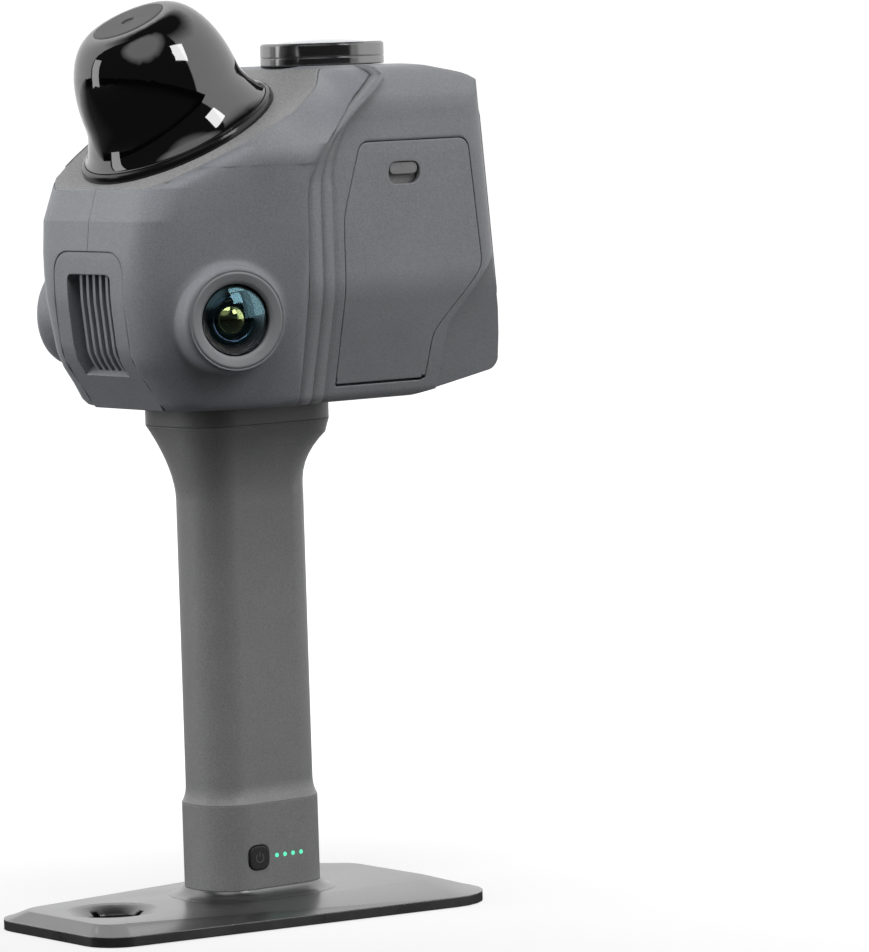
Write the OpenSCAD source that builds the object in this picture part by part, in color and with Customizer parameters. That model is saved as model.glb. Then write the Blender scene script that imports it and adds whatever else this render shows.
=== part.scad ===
// Handheld lidar scanner: a tilted lidar dome and three cameras on a moulded head,
// a battery grip with a power button, and a flat survey base plate.
// Millimetres, +Z up, front (vent and dome) towards -Y, service hatch on +X.
// The origin lies on the underside of the base plate, under the grip axis.

/* [Base plate] */
// Front end of the plate, ahead of the grip axis
plate_front = 80; // [74:1:90]
// Rear end of the plate, behind the grip axis
plate_rear = 64; // [56:1:75]
// Width of the plate at its front end
plate_w_front = 62; // [54:1:72]
// Width of the plate at its rear end
plate_w_rear = 102; // [90:1:114]
// Corner radius at the front end
plate_r_front = 12; // [8:1:16]
// Corner radius at the rear end
plate_r_rear = 17; // [10:1:22]
// Height of the upright edge of the plate
plate_edge = 3.2; // [2.4:0.1:4.4]
// Thickness of the plate in its middle
plate_t = 6; // [5:0.1:8]
// Width of the flat top between the sloped margins
plate_top_w = 49; // [44:1:52]
// Width of the sloped margin at the plate's front end
plate_margin = 5.5; // [4:0.5:8]
// Distance of the survey hole ahead of the grip axis
sight_y = 55; // [52:1:58]
// Bore of the survey hole
sight_d = 18; // [14:0.5:20]
// Diameter of the dished rim of the survey hole
sight_rim_d = 29.6; // [27:0.2:32]
// Width of the four cross-hair notches
notch_w = 2.4; // [1.6:0.1:3]
// Height of the boss that carries the grip foot
boss_h = 2.6; // [1.6:0.1:3.6]
// Width of the boss's flared skirt around the foot
boss_w = 5.3; // [3.5:0.1:6]
// Diameter of the fixing screw
screw_d = 6.35; // [5:0.05:8]

/* [Grip] */
// Width of the grip foot
foot_w = 29; // [28:0.5:32]
// Length of the grip foot
foot_l = 45; // [44:0.5:50]
// Corner radius of the grip foot
foot_r = 12.5; // [10:0.5:13.5]
// Height of the grip foot
foot_h = 27; // [25:0.5:32]
// Width of the grip
grip_w = 25; // [24.6:0.2:27]
// Length of the grip's section
grip_l = 43; // [42.6:0.2:44]
// Height of the grip above its foot
grip_h = 120.5; // [120:0.5:140]
// Width of the collar under the head
collar_w = 40; // [36:0.5:44]
// Length of the collar under the head
collar_l = 57; // [53:0.5:60]
// Height of the collar under the head
collar_h = 6.5; // [5:0.5:9]
// Side of the square power button
button_w = 7.5; // [7:0.1:8.5]
// Distance of the power button ahead of the grip axis
button_y = 7.9; // [7:0.1:9]
// Height of the button and the light row above the foot's underside
button_h = 10; // [9:0.2:11]
// Travel of the power button
button_travel = 0.8; // [0.5:0.1:1]
// Diameter of a battery cell
cell_d = 18.4; // [17:0.1:18.6]
// Length of a battery cell
cell_l = 65; // [60:0.5:65]

/* [Head] */
// Height of the head
head_h = 105; // [103:0.5:110]
// Wall of the mouldings
wall = 2.4; // [2:0.1:2.8]
// Reach of the nose ahead of the grip axis
nose_y = 56; // [55:0.5:60]
// Half width of the nose at its corner
nose_x = 28; // [26:0.5:30]
// Half width of the front cowl at its rear edge
cheek_x = 49.4; // [49:0.1:50.5]
// Half width of the rear box
box_x = 46; // [45.5:0.1:46.5]
// Depth of each terrace between cowl and box
terrace = 1.15; // [0.8:0.05:1.2]
// Spacing of the terraces
terrace_pitch = 5.5; // [4:0.1:6]
// Draw-in of the lower side of the head
lean_x = 8.4; // [7:0.2:9]
// Height at which the lower side starts to draw in
bend_h = 36; // [32:1:40]
// Tilt of the deck that carries the lidar
deck_tilt = 26.5; // [25:0.5:28]
// Drop of the deck's front edge below the head's top
deck_drop = 36; // [34:0.5:37]
// Thickness of the deck plate
deck_t = 2.5; // [2:0.1:3]
// Reach of the rear face behind the grip axis, at the bottom
rear_y = 77; // [75:0.5:79]
// Fall of the top towards the rear edge
rear_fall = 5; // [3:0.5:7]
// Tilt of the rear face
rear_tilt = 5; // [3:0.5:6]

/* [Lidar] */
// Distance of the lidar ahead of the grip axis, on the deck
lidar_y = 19.4; // [18:0.2:20.4]
// Outer diameter of the seal ring
seal_d = 65; // [64:0.2:66]
// Diameter of the dome's flange
flange_d = 61.4; // [60:0.2:62]
// Diameter of the dome's bulb
bulb_d = 52; // [50:0.5:54]
// Height of the dome above the deck
dome_h = 40; // [38:0.5:42]
// Diameter of the dome's flat cap
cap_d = 24.4; // [20:0.1:28]
// Wall of the dome
dome_wall = 2; // [1.6:0.1:2.4]
// Height of the spinning drum in the dome
drum_h = 25; // [20:0.5:27]

/* [Cameras] */
// Distance of the side cameras ahead of the grip axis
cam_y = 32.5; // [31:0.5:34]
// Half distance between the side camera faces
cam_x = 45.6; // [45:0.2:47]
// Height of the side cameras above the head's underside
cam_h = 28.5; // [27:0.5:30]
// Angle of the side cameras from the front
cam_turn = 74; // [71:1:78]
// Outer diameter of a camera face
cam_d = 32; // [31:0.2:33]
// Diameter of a camera's front glass
lens_d = 22; // [20:0.2:23]
// Rise of a camera's domed glass
lens_rise = 3; // [2.4:0.1:3.2]
// Depth of a camera's glass behind its face
lens_back = 6; // [5.5:0.1:7]
// Depth of a camera's bezel
bezel_t = 3; // [2.8:0.1:3.2]
// Length of a camera's barrel behind its face
cam_l = 22; // [21:0.5:23]
// Wall of a camera's barrel
barrel_wall = 1.3; // [1.2:0.1:1.4]
// Distance of the top camera behind the grip axis
top_cam_y = 38.5; // [37.5:0.5:42]
// Diameter of the top camera's barrel
top_cam_d = 39.6; // [36:0.2:42]
// Diameter of the top camera's glass
top_glass_d = 30; // [26:0.5:33]
// Height of the top camera's barrel
top_cam_h = 7.2; // [6:0.2:9]

/* [Vent] */
// Half width of the vent panel
panel_x = 18.3; // [17.5:0.1:19]
// Height of the vent panel above the head's underside
panel_h = 50; // [48:0.5:54]
// Width of the vent recess
vent_w = 23; // [21:0.5:25]
// Lower end of the vent recess
vent_h0 = 11; // [10:0.5:13]
// Upper end of the vent recess
vent_h1 = 43; // [41:0.5:44]
// Number of vent fins
fins = 5; // [3:1:6]
// Thickness of a vent fin
fin_t = 1.4; // [1:0.1:1.8]
// Size of the square fan
fan_w = 36; // [34:0.5:37]

/* [Hatch] */
// Thickness of the hatch
hatch_t = 2.2; // [1.8:0.1:2.4]
// Gap around the hatch
hatch_gap = 0.3; // [0.25:0.05:0.5]
// Height of the hatch's top edge above the head's underside
hatch_top = 81.3; // [80:0.1:83]
// Radius of the hatch's hinge barrel
barrel_r = 1.9; // [1.7:0.05:2]
// Radius of the hinge pin
pin_r = 0.8; // [0.6:0.05:1]
// Width of the latch slot
latch_w = 12.5; // [11:0.5:14]
// Height of the latch slot
latch_h = 7; // [6.4:0.1:8]
// Travel of the latch
latch_travel = 2.8; // [2:0.1:3]
// Depth of the port bay behind the hatch
bay_depth = 8.3; // [7.6:0.1:9]
// Length of the memory card
card_len = 15; // [13:0.5:16]
// Width of the memory card
card_l = 11; // [10:0.5:12]
// Thickness of the memory card
card_t = 1; // [0.7:0.1:1.2]

/* [Display] */
// Width of the display glass
glass_w = 78; // [70:0.5:79]
// Height of the display glass
glass_h = 58; // [50:0.5:62]
// Thickness of the display glass
glass_t = 1.5; // [1.2:0.1:2]

/* [Inside] */
// Width of the chassis plate
chassis_w = 52; // [48:1:56]
// Length of the chassis plate
chassis_l = 72; // [66:1:76]
// Thickness of the chassis plate
chassis_t = 2; // [1.6:0.2:2.4]
// Height of the chassis posts that carry the main board
post_h = 7; // [6:0.5:8]
// Width of the main board
main_w = 50; // [44:1:54]
// Length of the main board
main_l = 82; // [76:1:84]
// Width of the heat sink
sink_w = 34; // [28:1:38]
// Length of the heat sink
sink_l = 36; // [30:1:38]
// Height of the heat sink
sink_h = 14; // [10:1:16]
// Number of heat sink fins
sink_fins = 9; // [6:1:10]
// Depth of the fan
fan_t = 10; // [9:0.5:11]

/* [Fits] */
// Clearance between fixed pieces that drop into each other
fit = 0.2; // [0.15:0.05:0.3]
// Clearance around pieces that move
run = 0.3; // [0.25:0.05:0.4]
// Radial clearance of a pin or shaft in its bore
bore_fit = 0.05; // [0.03:0.01:0.08]

/* [Hidden] */

$fn = 48;
eps = 0.01;
// Half gap of the seam between the two front mouldings
seam = 0.06;
// Stacked heights
foot_z = plate_t + boss_h;
grip_z = foot_z + foot_h;
collar_z = grip_z + grip_h;
head_z = collar_z + collar_h;
foot_wall = 3;
foot_floor = 2.5;
grip_wall = 2.3;
cell_x = grip_w / 2 - grip_wall;
cell_y = grip_l / 2 - grip_wall;
contact_t = 1.2;
contact_z = foot_z + button_h + 5;
board_t = 1.2;
// The board behind the button, and the button's inner flange
board_x = foot_w / 2 - foot_wall - 3.5;
flange_x = foot_w / 2 - foot_wall - run - 1;
light_y = [-0.8, 2.4, 5.6, 8.8];
light_d = 1.35;
stud_r = 2.5;
stud_y = collar_l / 2 - 5;

// Height of the deck's front edge, and of the brow where the nose starts to lean back
deck_h = head_h - deck_drop;
brow_h = deck_h - 9.5;
// Nose profile in side view: height above the head's underside, set-back from the nose
nose_drop = [[0, 14], [7.6, 9], [13, 4.5], [18, 2], [26.6, 1], [35, 0], [brow_h - 10, 0], [brow_h, 1.1]];
// Half width of the deck's crease along the head
crease = [[-60, 20], [-54, 25.2], [-50, 28.8], [-46, 31.6], [-40, 35], [-33, 38.4], [-26, 41.2],
    [-19, 42.8], [-12, 44], [-7, 43.9], [-2, 42.4], [3, 39.8], [8, 36.6], [12.5, 32],
    [16, 27.6], [19, 24.6], [23, 25.4], [28, 28.6], [34, 31.4], [44, 32]];
// Drop below the head's top at which the shoulder leaves the cheek, and how full the shoulder is
shoulder_drop = [[-60, 47], [-50, 44], [-40, 38], [-30, 32], [-20, 28.5], [-12, 28], [-6, 28], [0, 26],
    [8, 20.5], [17, 16], [23, 14], [30, 14], [44, 14]];
function shoulder_h(y) = head_h - lookup(y, shoulder_drop);
shoulder_p = [[-60, 1.2], [-30, 1.5], [-6, 1.35], [16, 1.3], [23, 1.7], [30, 2.6], [36, 3.2]];
// Swell of the cowl's side behind the first terrace
cowl_tail = [[0, 0], [6, 0.5], [16, 0.1], [26, -0.9], [36, -1.9], [48, -2.3]];
ridge_y = -6.3;
ridge_end = 30;
ridge_h = head_h - 39;
top_r = 14;

function unit(v) = v / norm(v);
function clamp(v, a, b) = min(max(v, a), b);

// One rounded corner at b, as points along its arc
function corner_arc(a, b, c, r, n) =
    let (u = unit(a - b), v = unit(c - b), half = acos(u * v) / 2,
         m = b + unit(u + v) * (r / sin(half)), s = b + u * (r / tan(half)),
         e = b + v * (r / tan(half)),
         a0 = atan2(s.y - m.y, s.x - m.x), a1 = atan2(e.y - m.y, e.x - m.x),
         d = ((a1 - a0 + 540) % 360) - 180)
    [for (i = [0:n]) m + r * [cos(a0 + d * i / n), sin(a0 + d * i / n)]];

// Outline with rounded corners: each corner is [x, y, radius]
function rounded(p, n = 6) = [for (i = [0:len(p) - 1])
    let (a = p[(i + len(p) - 1) % len(p)], b = p[i], c = p[(i + 1) % len(p)])
    each (b[2] > 0 ? corner_arc([a.x, a.y], [b.x, b.y], [c.x, c.y], b[2], n) : [[b.x, b.y]])];

function rounded_rect(w, l, r, n = 6) = rounded([[-w / 2, -l / 2, r], [w / 2, -l / 2, r],
    [w / 2, l / 2, r], [-w / 2, l / 2, r]], n);

// Clockwise outline moved inwards by d, corner by corner
function inset(p, d) = [for (i = [0:len(p) - 1])
    let (a = p[(i + len(p) - 1) % len(p)], b = p[i], c = p[(i + 1) % len(p)],
         u = unit([b.x - a.x, b.y - a.y]), v = unit([c.x - b.x, c.y - b.y]),
         n1 = [u.y, -u.x], n2 = [v.y, -v.x], q = (n1 + n2) * (d / (1 + n1 * n2)))
    [b.x + q.x, b.y + q.y, b[2]]];

// Solid through rings of equal count, each counter-clockwise from above
module loft(rings) {
    n = len(rings[0]);
    m = len(rings);
    sides = [for (k = [0:m - 2]) for (i = [0:n - 1])
        let (a = k * n + i, b = k * n + (i + 1) % n)
        each [[a, b + n, b], [a, a + n, b + n]]];
    polyhedron(points = [for (r = rings) each r],
        faces = concat([[for (i = [0:n - 1]) i]], sides,
            [[for (i = [n - 1:-1:0]) (m - 1) * n + i]]));
}

module along_x(x0, x1, pts) {
    translate([x0, 0, 0]) rotate([90, 0, 90]) linear_extrude(x1 - x0) polygon(pts);
}

module along_y(y0, y1, pts) {
    translate([0, y1, 0]) rotate([90, 0, 0]) linear_extrude(y1 - y0) polygon(pts);
}

module tube_y(y0, y1, r) {
    translate([0, y1, 0]) rotate([90, 0, 0]) cylinder(r = r, h = y1 - y0);
}

module tube_x(x0, x1, r) {
    translate([x0, 0, 0]) rotate([0, 90, 0]) cylinder(r = r, h = x1 - x0);
}

// Front of the head at a height, and the deck's height at a place along the head
function deck_z(y) = deck_h + (y + nose_y - 4.2) * tan(deck_tilt);
function front_y(h) = h <= brow_h ? lookup(h, nose_drop) - nose_y
    : h <= deck_h ? 1.1 + 3.1 * (h - brow_h) / (deck_h - brow_h) - nose_y
    : 4.2 - nose_y + (h - deck_h) / tan(deck_tilt) - 4;
function lean(h) = lean_x / bend_h * (sqrt(pow(bend_h - h, 2) + 64) + bend_h - h) / 2;
function cheek(y) = let (t = (ridge_y - y) / (nose_y + ridge_y))
    y < ridge_y ? cheek_x - (cheek_x - nose_x) * (0.62 * t + 0.38 * t * t)
    : cheek_x + lookup(y - ridge_y, cowl_tail);
function side_x(y, h) = let (w = cheek(y), s = clamp((h - shoulder_h(y))
    / (min(deck_z(y), head_h) - shoulder_h(y)), 0, 1))
    w - (w - min(lookup(y, crease), w)) * pow(s, lookup(y, shoulder_p)) - lean(h);
function wall_x(y, h, d) = min(side_x(y, h) - d * 1.15, side_x(y, h + d * 1.25) - d * 0.7);
function edge_in(h, r) = h < r ? r - sqrt(r * r - pow(r - h, 2)) : 0;

// Plan ring of the right front moulding at height h, moved in by d
function cowl_ring(h, d, n) =
    let (e = edge_in(h - d, 2.5), y0 = front_y(h) + d * 1.2 + e, x1 = wall_x(y0, h, d) - e,
         y2 = y0 + 9, x2 = wall_x(y2, h, d) - e, y3 = 44 + d)
    [for (p = concat([[seam, y0]],
        [for (i = [0:4]) let (t = i / 4)
            pow(1 - t, 2) * [x1 - 8, y0] + 2 * t * (1 - t) * [x1 + 0.4, y0] + t * t * [x2, y2]],
        [for (i = [1:n]) let (y = y2 + (y3 - y2) * i / n) [wall_x(y, h, d) - e, y]],
        [[seam, y3]])) [p.x, p.y, head_z + h]];

// Terraced line between cowl and rear box in side view
function ridge(i, h) = let (q = max(0, (h - ridge_h) / 25))
    min(ridge_y + 18.5 * pow(q, 1.75) + i * terrace_pitch * (1 - 0.68 * min(q, 1)), ridge_end);
ridge_levels = concat([-1], [for (d = [39, 34, 29, 25, 21, 17, 13, 9, 6, 3, -13]) head_h - d]);
function ridge_line(i, d = 0) = [for (h = ridge_levels) [ridge(i, h) + d, head_z + h]];

module below_deck(d) {
    translate([0, 4.2 - nose_y, head_z + deck_h]) rotate([deck_tilt, 0, 0])
        translate([-80, -60, -120 - d]) cube([160, 220, 120]);
}

// Frame of the lidar: its own axis is +Z, zero on the deck
module at_lidar() {
    translate([0, -lidar_y, head_z + deck_z(-lidar_y)]) rotate([deck_tilt, 0, 0]) children();
}

// Frame of the right side camera: its face looks along +Z
module at_camera() {
    translate([cam_x, -cam_y, head_z + cam_h]) rotate([90, 0, cam_turn]) children();
}

// Frame of the rear face: +Z looks out of it, +Y is up the face
screen_h = 60;
module at_screen() {
    translate([0, rear_y - screen_h * tan(rear_tilt), head_z + screen_h])
        rotate([90 - rear_tilt, 0, 180]) children();
}

deck_end = 4.2 - nose_y + (head_h - deck_h) / tan(deck_tilt);
deck_front = 4.2 - nose_y;
// Half width of the deck, drawn in over its front corners as the nose is
function deck_x(y) = lookup(y, crease) - 5 * pow(clamp(1 - (y - deck_front) / 7.5, 0, 1), 1.6);
function deck_outline(d) = let (ys = concat([for (k = [0, 0.8, 1.8, 3.2, 5, 7.4]) deck_front + d + k],
        [for (q = crease) if (q[0] > deck_front + 10 && q[0] < deck_end - 2) q[0]]),
    e = deck_end - 0.6 - d)
    concat([for (y = ys) [deck_x(y) - d, y]],
        [[deck_x(e) - d, e], [d - deck_x(e), e]],
        [for (i = [len(ys) - 1:-1:0]) [d - deck_x(ys[i]), ys[i]]]);

// Section of the rear box across the head, drawn in by d from half width w
function box_section(w, d) = let (b = w - lean_x)
    rounded([[-b + d, d, 4], [b - d, d, 4], [w - d, bend_h, 40], [w - d, head_h - d, top_r - d],
        [d - w, head_h - d, top_r - d], [d - w, bend_h, 40]], 5);

module box_body(w, d, y0 = -20, y1 = 90) {
    translate([0, 0, head_z]) along_y(y0, y1, box_section(w, d));
}

// Side outline of the rear box, and its plan outline along the tilted rear face
function box_side(d) = rounded([[-40, d, 0], [42, d, 0], [rear_y - d - 0.5, 7 + d, 4],
    [rear_y - (head_h - rear_fall) * tan(rear_tilt) - d, head_h - rear_fall - d, 9],
    [48, head_h - d, 40], [-40, head_h - d, 0]], 5);

module box_limits(d) {
    intersection() {
        translate([0, 0, head_z]) along_x(-60, 60, box_side(d));
        translate([0, rear_y, head_z]) rotate([rear_tilt, 0, 0]) translate([0, 0, -40])
            linear_extrude(200) polygon(rounded([[-60, -120, 0], [60, -120, 0], [60, -45, 0],
                [box_x + 2.2 - d, -42, 0], [box_x + 0.05 - d, -36, 0], [box_x + 0.05 - d, 0.03 - d, 8],
                [d - box_x - 0.05, 0.03 - d, 8], [d - box_x - 0.05, -36, 0],
                [d - box_x - 2.2, -42, 0], [-60, -45, 0]], 6));
    }
}

// Hatch outline in side view, clockwise: place along the head and height
hatch_y = 9.6;
function hatch_line(d) = inset([[16.8, hatch_top, 4], [60.2, hatch_top, 4], [64.8, 40, 8],
    [47, 20, 10], [45.7, 5.4, 0.4], [hatch_y, 5.4, 0.4], [hatch_y, 58, 25]], d);
function hatch_pts(d) = [for (p = rounded(hatch_line(d), 5)) [p.x, p.y + head_z]];
hinge_h = 5.4 + barrel_r + 0.4;
hinge_x = box_x - lean_x + lean_x * hinge_h / bend_h - barrel_r / cos(atan(lean_x / bend_h));
hinge_y0 = hatch_y + 0.6;
pin_y0 = hinge_y0 - 2.4;
hinge_y1 = 44;
pin_y1 = hinge_y1 + 2.4;
// Lip of the hatch below its axis, and the radius that it sweeps
lip = barrel_r;
lip_r = norm([barrel_r, lip]) + run;
latch_y = 34.2;
latch_z = 71;
bay_x = box_x - hatch_t - bay_depth;
bay_wall = 2;
port_z = 24;
usb_y = [20, 31];
card_y = 40;
card_in = bay_x - card_len + 0.8;
strike_x0 = box_x - hatch_t - run - 1.2;

module base_plate() {
    half_f = plate_w_front / 2;
    half_r = plate_w_rear / 2;
    // Skirt of the boss: share of its width, share of its height
    skirt = [[1, -0.2], [0.97, 0.04], [0.72, 0.1], [0.5, 0.22], [0.32, 0.4], [0.18, 0.62], [0.09, 0.86],
        [0.06, 1]];
    module slab(p, z, h) {
        translate([0, 0, z]) linear_extrude(h) polygon([for (q = rounded(p, 6)) [q.x, q.y]]);
    }
    edge = [[-half_f, -plate_front, plate_r_front], [-half_r, plate_rear, plate_r_rear],
        [half_r, plate_rear, plate_r_rear], [half_f, -plate_front, plate_r_front]];
    top_x = plate_top_w / 2;
    top_rear = plate_rear - plate_margin - 2.5;
    flat = [[-top_x, plate_margin - plate_front, 8], [-top_x, top_rear, 8], [top_x, top_rear, 8],
        [top_x, plate_margin - plate_front, 8]];
    color([0.12, 0.12, 0.125]) difference() {
        union() {
            slab(edge, 0, plate_edge);
            hull() {
                slab(inset(edge, 0.5), plate_edge - 0.2, 0.2);
                slab(flat, plate_t - 0.2, 0.2);
            }
            // Boss under the grip, with a hollow flared skirt
            loft([for (q = skirt) [for (p = rounded_rect(foot_w + 2 * boss_w * q[0],
                foot_l + 2 * boss_w * q[0], foot_r + boss_w * q[0])) [p.x, p.y, plate_t + boss_h * q[1]]]]);
        }
        translate([0, -sight_y, -1]) cylinder(d = sight_d, h = plate_t + 2);
        translate([0, -sight_y, 0]) rotate_extrude()
            polygon([[0, plate_t + 1], [sight_rim_d / 2, plate_t + 1], [sight_rim_d / 2, plate_t],
                [sight_rim_d / 2 - 1.6, plate_t - 0.5], [sight_d / 2 + 1.4, plate_edge + 0.9],
                [sight_d / 2, plate_edge], [0, plate_edge]]);
        for (a = [0, 90]) translate([0, -sight_y, 0]) rotate([0, 0, a])
            translate([-notch_w / 2, -sight_d / 2 - 2.3, -1])
                cube([notch_w, sight_d + 4.6, plate_t + 2]);
        translate([0, 0, -1]) cylinder(d = screw_d + 2 * fit, h = foot_z + 2);
        translate([0, 0, -eps]) cylinder(d = screw_d + 6 + 2 * fit, h = 3 + fit);
    }
}

module base_screw() {
    color([0.3, 0.31, 0.32]) difference() {
        union() {
            translate([0, 0, 0.5]) cylinder(d = screw_d + 6, h = 2.5);
            translate([0, 0, 1]) cylinder(d = screw_d, h = foot_z + foot_floor + 4 - 1);
        }
        translate([0, 0, 0]) cylinder(d = 4.6, h = 2.2, $fn = 6);
    }
}

module grip_foot() {
    cavity_w = foot_w - 2 * foot_wall;
    color([0.42, 0.42, 0.43]) difference() {
        union() {
            difference() {
                translate([0, 0, foot_z]) linear_extrude(foot_h)
                    polygon(rounded_rect(foot_w, foot_l, foot_r));
                translate([0, 0, foot_z + foot_floor]) linear_extrude(contact_z - foot_z)
                    polygon(rounded_rect(cavity_w, foot_l - 11, 2));
                translate([0, 0, contact_z]) linear_extrude(foot_h)
                    polygon(rounded_rect(2 * cell_x, 2 * cell_y, 9));
            }
            translate([0, 0, foot_z + 1]) cylinder(r = 5.4, h = foot_floor + 4);
        }
        translate([0, 0, foot_z - 1]) cylinder(d = screw_d + 2 * bore_fit, h = foot_floor + 7);
        translate([foot_w / 2 - foot_wall - 1, -button_y, foot_z + button_h]) rotate([90, 0, 90])
            linear_extrude(foot_wall + 2)
                polygon(rounded_rect(button_w + 2 * run, button_w + 2 * run, 2.5 + run));
        for (y = light_y) translate([0, y, foot_z + button_h])
            tube_x(foot_w / 2 - foot_wall - 1, foot_w / 2 + 1, light_d / 2 + bore_fit);
    }
}

module grip_shell() {
    // Each section: height, half width, front reach, rear reach, corner radius
    flare = [for (d = [24, 21.5, 19, 16.5, 14, 11.5, 9, 6.5, 4.6, 4.4, 2.2, 0]) let (t = 1 - d / 24,
        r = clamp((20 - d) / 15.5, 0, 1))
        [grip_h - d, grip_w / 2 + (collar_w - grip_w) / 2 * pow(t, 1.9),
         grip_l / 2 + (collar_l - grip_l) / 2 * pow(t, 1.5),
         grip_l / 2 + (collar_l - grip_l) / 2 * pow(r, 2.3), 11 + 3 * t]];
    ledge = [for (i = [0:6]) let (t = i / 6, s = 1 - pow(1 - t, 2.6))
        [6.5 * t, foot_w / 2 + (grip_w - foot_w) / 2 * s, foot_l / 2 + (grip_l - foot_l) / 2 * s,
         foot_l / 2 + (grip_l - foot_l) / 2 * s, foot_r + (11 - foot_r) * s]];
    sections = concat(ledge, flare);
    color([0.4, 0.4, 0.41]) difference() {
        loft([for (q = sections) [for (p = rounded([[-q[1], -q[2], q[4]], [q[1], -q[2], q[4]],
            [q[1], q[3], q[4]], [-q[1], q[3], q[4]]], 6)) [p.x, p.y, grip_z + q[0]]]]);
        translate([0, 0, grip_z - 1]) linear_extrude(grip_h + 2)
            polygon(rounded_rect(2 * cell_x, 2 * cell_y, 9));
        for (s = [-1, 1]) translate([0, s * stud_y, collar_z - 6])
            cylinder(r = stud_r, h = 7);
    }
}

module grip_studs() {
    color([0.75, 0.76, 0.77]) for (s = [-1, 1]) translate([0, s * stud_y, collar_z - 6])
        cylinder(r = stud_r - bore_fit, h = 6 + collar_h - 1);
}

module battery_cells() {
    color([0.2, 0.42, 0.62]) for (s = [-1, 1], k = [0, 1])
        translate([0, s * (cell_d / 2 + fit / 2), contact_z + contact_t + k * (cell_l + 0.3)])
            union() {
                cylinder(d = cell_d, h = cell_l - 1);
                translate([0, 0, cell_l - 1 - eps]) cylinder(d = 6, h = 1 + eps);
            }
}

module battery_contact() {
    color([0.1, 0.35, 0.2]) translate([0, 0, contact_z]) linear_extrude(contact_t)
        polygon(rounded_rect(2 * cell_x - 2 * fit, 2 * cell_y - 2 * fit, 9));
}

module power_button() {
    color([0.09, 0.09, 0.1]) translate([0, -button_y, foot_z + button_h]) rotate([90, 0, 90]) {
        translate([0, 0, flange_x]) linear_extrude(foot_w / 2 + 0.5 - flange_x)
            polygon(rounded_rect(button_w, button_w, 2.5));
        translate([0, 0, flange_x]) linear_extrude(1)
            polygon(rounded_rect(button_w + 2.2, button_w + 2.2, 2.5));
    }
}

module button_board() {
    switch_h = flange_x - button_travel - run - board_x - board_t;
    color([0.1, 0.35, 0.2]) {
        translate([board_x, -foot_l / 2 + 7.5, foot_z + foot_floor])
            cube([board_t, foot_l - 15, contact_z - foot_z - foot_floor - 0.5]);
        translate([board_x + board_t - eps, -button_y - 2, foot_z + button_h - 2])
            cube([switch_h + eps, 4, 4]);
    }
}

module led_lenses() {
    color([0.35, 0.94, 0.7]) for (y = light_y) translate([0, y, foot_z + button_h])
        tube_x(board_x + board_t, foot_w / 2 + 0.1, light_d / 2);
}

passage_r = 7;
module collar() {
    color([0.41, 0.41, 0.42]) difference() {
        translate([0, 0, collar_z]) linear_extrude(collar_h)
            polygon(rounded_rect(collar_w, collar_l, 14));
        translate([0, 0, collar_z - 1]) cylinder(r = passage_r, h = collar_h + 2);
        for (s = [-1, 1]) translate([0, s * stud_y, collar_z - 1])
            cylinder(r = stud_r, h = collar_h);
    }
}

// The moulding is drawn as plan rings up to the split height, and as cross sections above it
split_h = deck_h + 6.5;
outer_levels = [0, 0.7, 2.5, 5, 7.6, 10.3, 13, 18, 26.6, 35, 43, brow_h - 10, brow_h, deck_h,
    deck_h + 3.5, split_h];
split_y = 4.2 - nose_y + (split_h - deck_h) / tan(deck_tilt) + 0.8;
function cowl_section(y) =
    let (t = min(deck_z(y), head_h), s = clamp(shoulder_h(y), split_h + 0.15, t - 0.1),
         hs = concat([for (i = [8:-1:0]) s + (t - s) * i / 8],
             [for (i = [2:-1:0]) split_h + (s - split_h) * i / 3]))
    [for (q = concat([[seam, split_h], [seam, t]], [for (h = hs) [side_x(y, h), h]]))
        [q.x, y, head_z + q.y]];
inner_levels = concat([wall, 8, 13, 18, 27, 40], [for (d = [-17.5, -7.5, 2.5, 12.5, 22.5, 30.5]) deck_h + d]);

// Panel opening of the vent, in front view
function panel_pts(d) = [for (p = rounded([[-panel_x - d, -2, 0], [panel_x + d, -2, 0],
    [panel_x + d, panel_h + d, 7], [-panel_x - d, panel_h + d, 7]], 5)) [p.x, p.y + head_z]];
// Strip that follows the nose profile between depths a and b, heights h0 to h1
function nose_at(h, d) = let (g = front_y(h + 0.5) - front_y(max(h, 0.5) - 0.5), n = unit([1, -g]))
    [front_y(h) + d * n.x, head_z + h + d * n.y];
function nose_strip(a, b, h0, h1) = let (hs = [for (i = [0:10]) h0 + (h1 - h0) * i / 10])
    concat([for (h = hs) nose_at(h, a)], [for (i = [10:-1:0]) nose_at(hs[i], b)]);

module cowl_skin() {
    loft([for (h = outer_levels) cowl_ring(h, 0, 10)]);
    loft([for (i = [0:22]) cowl_section(split_y + (44 - split_y) * i / 22)]);
}

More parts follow.
